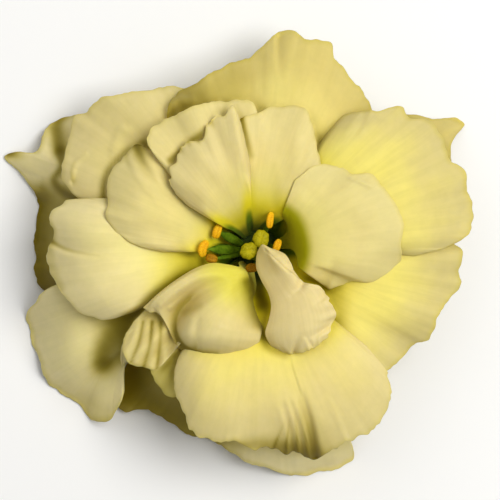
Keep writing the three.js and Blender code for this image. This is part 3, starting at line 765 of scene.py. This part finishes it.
def makePetal(name, petal, seed):
    rng = np.random.default_rng(seed)
    ring = name.split("Petal")[0]
    petal = {**usual, **rings[ring], "look": ring, **petal}
    azimuth, seen = np.array(petal["edge"], float).T
    radius = seen * (1 + (view["eyeHeight"] - petalHeight(petal, seen)) / view["eyeDistance"])
    turn = np.radians(azimuth)
    line = throughPoints(np.stack([radius * np.cos(turn), radius * np.sin(turn)], 1), sheet["marginSpans"])
    length = lengthAlong(line)
    s = np.linspace(0, length[-1], int(length[-1] / sheet["marginStep"]) + 1)
    tip = np.stack([np.interp(s, length, line[:, 0]), np.interp(s, length, line[:, 1])], 1)
    tipTurn = np.maximum.accumulate(np.unwrap(np.arctan2(tip[:, 1], tip[:, 0])))
    across = (tipTurn - tipTurn[0]) / (tipTurn[-1] - tipTurn[0])
    rows = np.linspace(0, 1, sheet["rows"] + 1)
    reach = 0.35 * rows ** 1.4 + 0.65 * (1 - np.cos(math.pi * rows)) / 2  # rows lie closer at both ends
    u, v = across[None], reach[:, None]
    clawTurn = np.radians(petal["claw"] + petal["halfAngle"] * (2 * u - 1))
    foot = np.stack([petal["foot"] * np.cos(clawTurn), petal["foot"] * np.sin(clawTurn)], 2)
    outward = tip - foot[0]
    along = np.linalg.norm(outward, axis=1, keepdims=True)
    ends = smoothStep(np.minimum(s, s[-1] - s), 0, sheet["evenEnds"])
    teeth = ripple(s, sheet["toothWaves"], rng) * petal["teeth"] * ends
    tip = tip + outward / along * teeth[:, None]
    # the claw stays narrow at first, then the blade widens
    widening = smoothStep(petal["foot"] + along.mean() * v, sheet["waistStart"], petal["clawEnd"])
    narrow = 1 - (1 - petal["waist"]) * (1 - widening)
    middleTip = np.array([np.interp(0.5, across, tip[:, 0]), np.interp(0.5, across, tip[:, 1])])
    middleFoot = polar(petal["claw"], petal["foot"], 0)[:2]
    spine = middleFoot + (middleTip - middleFoot) * v[..., None]
    plan = foot + (tip[None] - foot) * v[..., None]
    plan = spine + (plan - spine) * narrow[..., None]
    x, y = plan[..., 0], plan[..., 1]
    left, right = petal["drawnIn"]
    inward = (left * smoothStep(u, 0.4, 0) - right * smoothStep(u, 0.6, 1)) * np.sin(math.pi * v ** 2)
    x, y = x - inward * y / np.hypot(x, y), y + inward * x / np.hypot(x, y)
    z = petalHeight(petal, np.hypot(x, y))
    height, count, start = petal["wave"]
    z = z + petal["cup"] * (2 * u - 1) ** 2 * v ** 2
    z = z + height * np.sin(2 * math.pi * (count * u + start)) * v ** 4
    fromMargin = np.clip(along.T - v * (along.T + teeth), 0, None)
    steps = np.hypot(np.diff(x, axis=1), np.diff(y, axis=1))
    fromSide = np.concatenate([np.zeros_like(v), np.cumsum(steps, 1)], 1)
    fromSide = np.minimum(fromSide, fromSide[:, -1:] - fromSide)
    # in the throat the sides don't roll
    fromSide = fromSide + sheet["stillSides"] * (1 - smoothStep(np.hypot(x, y), *sheet["stillEnd"]))
    fromEdge = 1 / (1 / (fromMargin + 0.01) ** 3 + 1 / (fromSide + 0.01) ** 3) ** (1 / 3)
    z = restOnPile(x, y, z, fromEdge, petal["drop"])
    frill = ripple(s, sheet["frillWaves"], rng)[None] * petal["frill"]
    z = z + frill * ends[None] * np.exp(-((fromMargin / sheet["frillWidth"]) ** sheet["frillCurve"]))
    sway = sum(high * np.sin(2 * math.pi * (sideways * u + outwards * v + rng.uniform()))
               for high, sideways, outwards in sheet["sways"])
    z = z + sway * smoothStep(v, *sheet["swayStart"])
    seenX, seenY = seenOf(x, y, z)
    for fold in petal["folds"]:
        z = z + foldHeight(seenX, seenY, fold)
    z = z - sheet["lip"] * np.clip(1 - fromEdge / sheet["lipWidth"], 0, 1) ** 2
    z = aboveFloor(z)
    layOnPile(x, y, z)
    finishSheet(name, nodeOf(name), x, y, z, across, reach,
                petalLooks[petal["look"]], petalBacks[ring], petal["shades"])


for number, (name, petal) in enumerate(petals.items()):
    makePetal(name, petal, sheet["firstSeed"] + number)
print("petals modelled:", len(petals))


# the two curled petals of the core, as nets of places: seen x and y, and height in mm, rows from the foot
nets = dict(
    corePetalTongue=dict(look="tongue", seed=41, teeth=0.45, frill=0.5, net=[
        [(268, 262, 8), (269, 260.5, 8), (270, 258.5, 8), (271.5, 256, 8), (272.3, 254, 8)],
        [(267, 261, 14), (268, 259, 14), (269.5, 257, 14), (271, 255, 14), (272, 253, 14)],
        [(263.5, 258, 19.5), (264.5, 256.5, 19.3), (266, 254.5, 19.3), (268, 252.5, 19.3),
         (270, 251, 19.5)],
        [(259.5, 249.5, 23.6), (260.5, 247, 24.2), (262.5, 245, 25), (265.5, 246, 25.4),
         (269.5, 248.5, 24.6)],
        [(256.8, 257, 23.6), (261, 255.5, 24.5), (266.5, 254, 25.8), (273, 254.5, 27.4), (284, 254, 26.2)],
        [(256.8, 268, 23.8), (263, 267.5, 24.8), (270.5, 266.5, 26.2), (281, 263.5, 28.2),
         (290.5, 263, 27)],
        [(262, 281, 24.8), (268.5, 280, 25.8), (276.5, 277.5, 26.9), (286.5, 273.5, 28.2),
         (295, 272.5, 28.2)],
        [(268.5, 293, 25.6), (275.5, 292, 26.6), (284, 289.5, 27.6), (294, 284.5, 28.4),
         (304, 282.5, 28.4)],
        [(271.5, 306, 26), (280, 304, 27.1), (291, 300, 28), (304.5, 293, 28.6), (320, 286.5, 28.6)],
        [(269, 320, 26), (280, 318, 27.3), (293, 313.5, 28.3), (310, 307, 28.8), (329, 300, 28.4)],
        [(265.5, 333, 25.6), (279, 332, 27.2), (294, 327, 28.4), (313, 319.5, 28.8), (335, 312, 28.4)],
        [(270, 344, 24.8), (282, 345, 26.6), (297, 341, 28), (314, 333, 28.5), (332.5, 326, 28)],
        [(277, 351, 23.8), (288, 353, 25.4), (301, 353, 26.8), (315, 346, 27.6), (327, 338, 27.4)]],
        folds=[([266, 249, 277, 260, 290, 271], (-0.5, -0.7), (0.8, 0.3)),
            ([303, 281, 300, 288, 292, 294], (-1.2, -0.2), (0.6, 0.9)),
            ([327, 288, 324, 296, 316, 303], (-1.4, -0.2), (0.5, 0.6)),
            ([334, 322, 322, 331, 308, 337], (-1, -0.2), (0.5, 0.8)),
            ([294, 353, 296, 345, 301, 336], (-1, -0.1), (0.5, 0.6)),
            ([316, 350, 310, 343, 306, 336], (-0.7, -0.1), (0.4, 0.5))],
        shades=[([266, 249, 277, 260, 290, 271, 300, 279], (0.3, 0.5), (0.35, 0.2))]),
    corePetalCurled=dict(look="curled", seed=42, teeth=0.15, frill=0.15, net=[
        [(243, 261, 8), (244, 262.5, 8), (245, 263.5, 8), (246.5, 264.5, 8), (248, 265, 8), (250, 266, 8),
         (252, 266.5, 8)],
        [(239, 262, 15), (240.5, 264, 15), (242, 266, 15), (244, 268, 15), (246, 269.5, 14.5),
         (250, 271.5, 13.5), (254, 273, 12)],
        [(239, 267, 22.6), (242, 269.5, 22.6), (245, 272, 22.3), (247.5, 276, 22), (249.5, 281, 20.5),
         (253, 286.5, 17.5), (257, 292, 14)],
        [(228, 265, 24.4), (228.5, 269, 25.2), (229.5, 274, 25.6), (232, 280, 25.8), (237, 287, 25),
         (247, 295, 21.5), (259, 303, 16)],
        [(212, 263.5, 25.2), (209.5, 269, 26.4), (208, 276, 27), (211, 287, 25.6), (221, 298, 27.2),
         (240, 308, 25.4), (262, 315, 19.5)],
        [(195, 269, 25.4), (189, 276.5, 27), (186, 286, 26.6), (190, 300, 23.2), (203, 311, 27.6),
         (231, 320, 28.2), (262, 325, 22.5)],
        [(175, 281, 24.8), (167, 290, 26.4), (167, 301, 25.6), (178, 315, 22.6), (193, 322, 27.6),
         (226, 331, 29.2), (261, 335, 24.4)],
        [(158, 294, 24.2), (153, 302, 25.2), (159, 310, 24.6), (174, 330, 22.4), (188, 338, 27),
         (222, 344, 28.2), (257, 346, 23.8)],
        [(143.5, 307.5, 23.4), (149, 311.5, 23.6), (162, 317, 23.2), (178, 347, 22), (195, 354, 23.4),
         (220, 357, 23.6), (249, 353, 22.4)]],
        folds=[([215, 268, 200, 276, 178, 290, 160, 305], (0, 0.4), 0.5),
            ([208, 280, 190, 291, 170, 308], (0, 0.4), 0.4), ([198, 320, 196, 334, 198, 347], -0.25, 0.7)],
        shades=[
            ([193, 294, 181, 305, 175, 319, 176, 333, 183, 345, 198, 351, 216, 355], (0.1, 0.56), (0.8, 2.3)),
            ([190, 299, 181, 308, 176, 320, 177, 333, 184, 345, 198, 352, 214, 356], (0.25, 0.6), (0.22, 1)),
            ([186, 313, 200, 306], (0.3, 0.35), 0.9),
            ([198, 320, 193.5, 331, 196, 346], (0.16, 0.26), (0.3, 0.7)),
            ([248, 282, 252, 300, 258, 324], (0.75, 0.35), (1.8, 1.9))]),
)
netSheet = dict(rowSpans=12, columnSpans=26, tipWaves=[(5.3, 0.5), (2.7, 0.35), (1.4, 0.2)],
                liftWaves=[(6.1, 0.5), (3.1, 0.35), (1.7, 0.15)], sideLift=[(4.4, 0.5), (2.2, 0.3)],
                sideSwing=[(3.7, 0.3), (1.9, 0.25)], tipCurve=12, ruffleAcross=(0.72, 1),
                ruffleReach=(0.5, 0.75), lip=0.25, lipShare=6, lipStart=(0.2, 0.4))


def makeNet(name, look, seed, teeth, frill, net, folds, shades):
    rng = np.random.default_rng(seed)
    rows = throughPoints(net, netSheet["rowSpans"])
    points = throughPoints(rows.transpose(1, 0, 2), netSheet["columnSpans"]).transpose(1, 0, 2)
    seenX, seenY, z = points[..., 0], points[..., 1], points[..., 2]
    across = np.linspace(0, 1, points.shape[1])
    reach = np.linspace(0, 1, points.shape[0])
    u, v = across[None], reach[:, None]
    x, y = planOf(seenX, seenY, z)
    out = np.stack([x[-1] - x[-5], y[-1] - y[-5]], 1)
    out /= np.linalg.norm(out, axis=1, keepdims=True)
    s = lengthAlong(np.stack([x[-1], y[-1]], 1))
    atTip = v ** netSheet["tipCurve"]
    ragged = ripple(s, netSheet["tipWaves"], rng)[None] * teeth * atTip
    x = x + out[None, :, 0] * ragged
    y = y + out[None, :, 1] * ragged
    z = z + ripple(s, netSheet["liftWaves"], rng)[None] * frill * atTip
    # the last column is a free margin too
    s = lengthAlong(np.stack([x[:, -1], y[:, -1]], 1))[:, None]
    ruffle = smoothStep(u, *netSheet["ruffleAcross"]) * smoothStep(v, *netSheet["ruffleReach"]) * frill
    z = z + ripple(s, netSheet["sideLift"], rng) * ruffle
    x = x + ripple(s, netSheet["sideSwing"], rng) * ruffle
    for fold in folds:
        z = z + foldHeight(seenX, seenY, fold)
    edge = np.minimum(np.minimum(u, 1 - u) * netSheet["lipShare"], 1)
    z = z - netSheet["lip"] * (1 - edge) ** 2 * smoothStep(v, *netSheet["lipStart"])
    finishSheet(name, nodeOf(name), x, y, z, across, reach, petalLooks[look],
                petalBacks[look], shades)


for name, net in nets.items():
    makeNet(name, **net)
print("curled petals modelled:", len(nets))
markPaintedShade()


# round bodies: a ball whose vertices are moved into place
def roundBody(name, fineness, place, look):
    segments, ringCount = fineness
    bpy.ops.mesh.primitive_uv_sphere_add(segments=segments, ring_count=ringCount, radius=1)
    piece = bpy.context.object
    piece.name = name
    mesh = piece.data
    ball = np.empty(len(mesh.vertices) * 3)
    mesh.vertices.foreach_get("co", ball)
    ball = ball.reshape(-1, 3)
    t = 1 - np.arccos(np.clip(ball[:, 2], -1, 1)) / math.pi
    points = place(t, np.arctan2(ball[:, 1], ball[:, 0])) * mm + np.array([axisX, axisY, 0])
    mesh.vertices.foreach_set("co", points.reshape(-1))
    mesh.update()
    mesh.materials.append(look)
    bpy.ops.object.shade_smooth()
    return piece


def turned(profile, ribs=0, ribDepth=0.0):
    # a lathe outline of (radius, height) followed by its length, with ribs around it
    profile = np.array(profile, float)
    length = lengthAlong(profile)

    def place(t, turn):
        at = t * length[-1]
        radius, height = (np.interp(at, length, line) for line in profile.T)
        radius = radius * (1 + ribDepth * np.cos(ribs * turn))
        return np.stack([radius * np.cos(turn), radius * np.sin(turn), height], 1)
    return place


def swept(path, radii, side, lobes):
    # a tube along a smooth path; side is a direction square to the path; lobes scales the section
    path = throughPoints(path, 10)
    ahead = np.gradient(path, axis=0)
    ahead /= np.linalg.norm(ahead, axis=1, keepdims=True)
    up = np.cross(side, ahead)
    up /= np.linalg.norm(up, axis=1, keepdims=True)
    across = np.cross(ahead, up)
    knots = np.linspace(0, 1, len(path))
    radii = np.array(radii, float)

    def place(t, turn):
        radius = (np.interp(t, radii[:, 0], radii[:, 1]) * lobes(t, turn))[:, None]
        middle, upHere, acrossHere = (np.stack([np.interp(t, knots, line[:, i]) for i in range(3)], 1)
                                      for line in (path, up, across))
        return middle + radius * (np.cos(turn)[:, None] * acrossHere + np.sin(turn)[:, None] * upHere)
    return place


def joined(name, pieces):
    for piece in pieces:
        piece.select_set(True)
    bpy.context.view_layer.objects.active = pieces[0]
    bpy.ops.object.join()
    pieces[0].name = name
    return pieces[0]


# lobeWaves: depth, count around, and how much they lean; cleft: the furrow on top of each lobe
pistil = dict(
    ovary=[(0, 8), (1.2, 8), (1.55, 9), (1.85, 11.6), (1.75, 13), (1.3, 15), (0.8, 16.3), (0.55, 17.4),
           (0, 17.4)], ribs=4, ribDepth=0.04,
    style=[(0, 16.6), (0.5, 16.7), (0.46, 18.5), (0.52, 20.6), (0.75, 21.7), (0, 22.2)],
    lobes=[(0.85, 1.95), (-1.25, -0.15)], lobeHeight=22.4, lobeRadius=1.5, lobeFlatness=0.72,
    lobeWaves=[(0.06, 2, 0), (0.035, 5, 0), (0.03, 9, 4)], cleftDepth=0.35, cleftWidth=0.22, seed=5,
    ovaryFineness=(48, 40), styleFineness=(24, 24), lobeFineness=(56, 40))


def stigmaLobe(centre, turnTo, rng):
    starts = rng.uniform(0, 6.3, 4)

    def place(t, turn):
        lift = -np.cos(t * math.pi)
        flat = np.sin(t * math.pi)
        radius = pistil["lobeRadius"] * (1 + sum(depth * np.sin(count * turn + lean * lift + start) for
                                         (depth, count, lean), start in zip(pistil["lobeWaves"], starts)))
        cleft = np.exp(-((np.cos(turn - turnTo) * flat / pistil["cleftWidth"]) ** 2)) * np.clip(lift, 0, 1)
        lift = (lift - pistil["cleftDepth"] * cleft) * pistil["lobeFlatness"]
        return np.stack([centre[0] + radius * flat * np.cos(turn), centre[1] + radius * flat * np.sin(turn),
                         pistil["lobeHeight"] + radius * lift], 1)
    return place


pistilRng = np.random.default_rng(pistil["seed"])
ovary = turned(pistil["ovary"], pistil["ribs"], pistil["ribDepth"])
bodies = [roundBody("ovary", pistil["ovaryFineness"], ovary, looks["ovary"]),
          roundBody("style", pistil["styleFineness"], turned(pistil["style"]), looks["filament"])]
for centre in pistil["lobes"]:
    turnTo = math.atan2(centre[1], centre[0]) + math.pi / 2
    lobe = stigmaLobe(centre, turnTo, pistilRng)
    bodies.append(roundBody("stigmaLobe", pistil["lobeFineness"], lobe, looks["stigma"]))
handOver(joined("pistil", bodies), "pistil")
print("pistil modelled")


# base: azimuth on the ring; anther: azimuth, radius, height; turn: its direction from above
# curl: how far it is bowed sideways; broad: half the width of the strap that its filament is
# ripe: browned and shrunken
stamens = [
    dict(base=66, anther=(64, 5.8, 22), turn=82, curl=0.1, length=1.45, width=0.55),
    dict(base=160, anther=(154, 7.4, 21.6), turn=72, curl=0.15, length=1.3, width=0.66, broad=0.85),
    dict(base=182, anther=(179, 8.7, 22.4), turn=72, curl=0.6, length=1.45, width=0.7, broad=0.95),
    dict(base=196, anther=(192, 8.0, 20.4), turn=-15, curl=0.2, length=1.0, width=0.7, ripe=True),
    dict(base=12, anther=(12, 3.9, 18.8), turn=70, curl=0.1, length=1.1, width=0.6),
    dict(base=276, anther=(258, 3.4, 18.4), turn=5, curl=0.2, length=1.05, width=0.7, ripe=True),
]
# bends: how far along the filament's path they lie, and how high they stand above its straight line
# the lists of widths: how far along, and half width, in mm at foot and tip, else as a share of the piece's
stamenShape = dict(
    ring=2.1, footHeight=8.05, broad=0.45, below=0.25, bends=((0.35, 3.2), (0.72, 1.9)), bulge=1.6,
    footWidths=[(0, 0), (0.02, 0.4)], bladeWidths=[(0.35, 1), (0.6, 0.95), (0.8, 0.5)],
    tipWidths=[(0.92, 0.17), (0.985, 0.12), (1, 0)], antherRise=0.25, antherDroop=0.35,
    sacWidths=[(0, 0), (0.04, 0.55), (0.14, 0.85), (0.35, 1), (0.65, 0.97), (0.86, 0.8), (0.96, 0.5), (1, 0)],
    sacSpread=0.16, furrowDepth=0.3, furrowWidth=0.12, filamentFineness=(16, 40), antherFineness=(32, 40))


def sacs(t, turn):
    # two pollen sacs with a furrow between them, on top and below
    furrow = np.exp(-((np.abs(np.sin(turn)) - 1) / stamenShape["furrowWidth"]) ** 2)
    return (1 + stamenShape["sacSpread"] * np.cos(2 * turn)) * (1 - stamenShape["furrowDepth"] * furrow)


def strap(t, turn):
    # flat where the filament is broad
    return 1 / np.hypot(np.cos(turn), np.sin(turn) * (1 + stamenShape["bulge"] * np.sin(math.pi * t)))


def widths(shares, width):
    return [(t, share * width) for t, share in shares]


def makeStamen(number, base, anther, turn, curl, length, width, broad=stamenShape["broad"], ripe=False):
    centre = polar(*anther)
    foot = polar(base, stamenShape["ring"], stamenShape["footHeight"])
    end = centre - np.array([0, 0, stamenShape["below"]])
    bends = [foot + (end - foot) * t + np.array([0, 0, rise]) for t, rise in stamenShape["bends"]]
    sideways = np.cross(end - foot, [0, 0, 1.0])
    sideways /= np.linalg.norm(sideways)
    radii = stamenShape["footWidths"] + widths(stamenShape["bladeWidths"], broad) + stamenShape["tipWidths"]
    shape = swept([foot, *bends, end], radii, sideways, strap)
    filament = roundBody("filament" + number, stamenShape["filamentFineness"], shape, looks["filament"])
    handOver(filament, "filament_" + number)
    turn = math.radians(turn)
    ahead = np.array([math.cos(turn), math.sin(turn), 0.0])
    bow = np.array([-math.sin(turn), math.cos(turn), 0.0])
    path = [centre + ahead * length * k + bow * curl * (1 - k * k)
            + np.array([0, 0, stamenShape["antherRise"] - stamenShape["antherDroop"] * k * k])
            for k in (-1, -0.5, 0, 0.5, 1)]
    shape = swept(path, widths(stamenShape["sacWidths"], width), bow, sacs)
    piece = roundBody("anther" + number, stamenShape["antherFineness"], shape,
                      looks["ripeAnther" if ripe else "anther"])
    handOver(piece, "anther_" + number)


for i, stamen in enumerate(stamens):
    makeStamen(str(i + 1), **stamen)
print("stamens modelled:", len(stamens))


# line: distance from the axis, height and half width, from the receptacle to the tip
sepals = dict(azimuths=[57, 120, 193, 262, 343], thickness=0.4, keel=0.5, keelCurve=1.3, columns=25,
              line=[(5.75, 6.9, 1.0), (8, 8.6, 1.15), (12, 10.5, 1.08), (16.5, 11.5, 0.88),
                    (21, 11.2, 0.58), (25, 10, 0.1)],
              spans=14, seed=70, twist=0.35, bend=0.6, wave=0.12, waves=(9, 3), keelEnd=8)
line = throughPoints(sepals["line"], sepals["spans"])
reach = np.linspace(0, 1, len(line))
across = np.linspace(0, 1, sepals["columns"])
v, u = reach[:, None], 2 * across[None] - 1
for i, azimuth in enumerate(sepals["azimuths"]):
    rng = np.random.default_rng(sepals["seed"] + i)
    twist = rng.uniform(-sepals["twist"], sepals["twist"])
    side = line[:, 2:] * u
    out = line[:, :1] + 0 * u
    bend = rng.uniform(-sepals["bend"], sepals["bend"]) * v ** 2
    keel = sepals["keel"] * (1 - np.abs(u)) ** sepals["keelCurve"]
    keel = keel * np.minimum(1, sepals["keelEnd"] * (1 - v))
    wave = sepals["wave"] * np.sin(sepals["waves"][0] * v + sepals["waves"][1] * u + i)
    lift = twist * side * v - keel + wave
    turn = math.radians(azimuth)
    x = out * math.cos(turn) - (side + bend) * math.sin(turn)
    y = out * math.sin(turn) + (side + bend) * math.cos(turn)
    finishSheet(f"sepal{i + 1}", f"sepal_{i + 1}", x, y, line[:, 1:2] + lift, across, reach,
                looks["sepal"], looks["sepal"], thickness=sepals["thickness"])
print("sepals modelled:", len(sepals["azimuths"]))


# pedicel and receptacle; its cut end and the floor of the throat have looks of their own
pedicel = dict(stalk=[(0, 0.16), (0.5, 0.1), (1.12, 0), (1.24, 0.1), (1.25, 3.4), (1.5, 4.3), (2.7, 5.0),
                      (4.6, 5.7), (5.2, 6.2), (5.3, 6.6), (5.3, 7.5), (5.15, 7.68), (0, 7.7)],
               ribs=5, ribDepth=0.03, cutTop=0.17, cutSlope=-0.7, throatFloor=7.5, fineness=(80, 150))
shape = turned(pedicel["stalk"], pedicel["ribs"], pedicel["ribDepth"])
stalk = roundBody("pedicel", pedicel["fineness"], shape, looks["stalk"])
stalk.data.materials.append(looks["cut"])
stalk.data.materials.append(looks["throat"])
for face in stalk.data.polygons:
    if face.center.z < pedicel["cutTop"] * mm and face.normal.z < pedicel["cutSlope"]:
        face.material_index = 1
    elif face.center.z > pedicel["throatFloor"] * mm:
        face.material_index = 2
handOver(stalk, "pedicel")
print("pedicel modelled")

ground = dict(size=3, colour=(0.95, 0.95, 0.94, 1), roughness=0.9)
bpy.ops.mesh.primitive_plane_add(size=ground["size"], location=(0, 0, 0))
floor = bpy.context.object
floor.name = "floor"
floorPaint = bpy.data.materials.new("paleFloor")
floorPaint.use_nodes = True
floorShader = floorPaint.node_tree.nodes["Principled BSDF"]
floorShader.inputs["Base Color"].default_value = ground["colour"]
floorShader.inputs["Roughness"].default_value = ground["roughness"]
floor.data.materials.append(floorPaint)
print("floor laid")
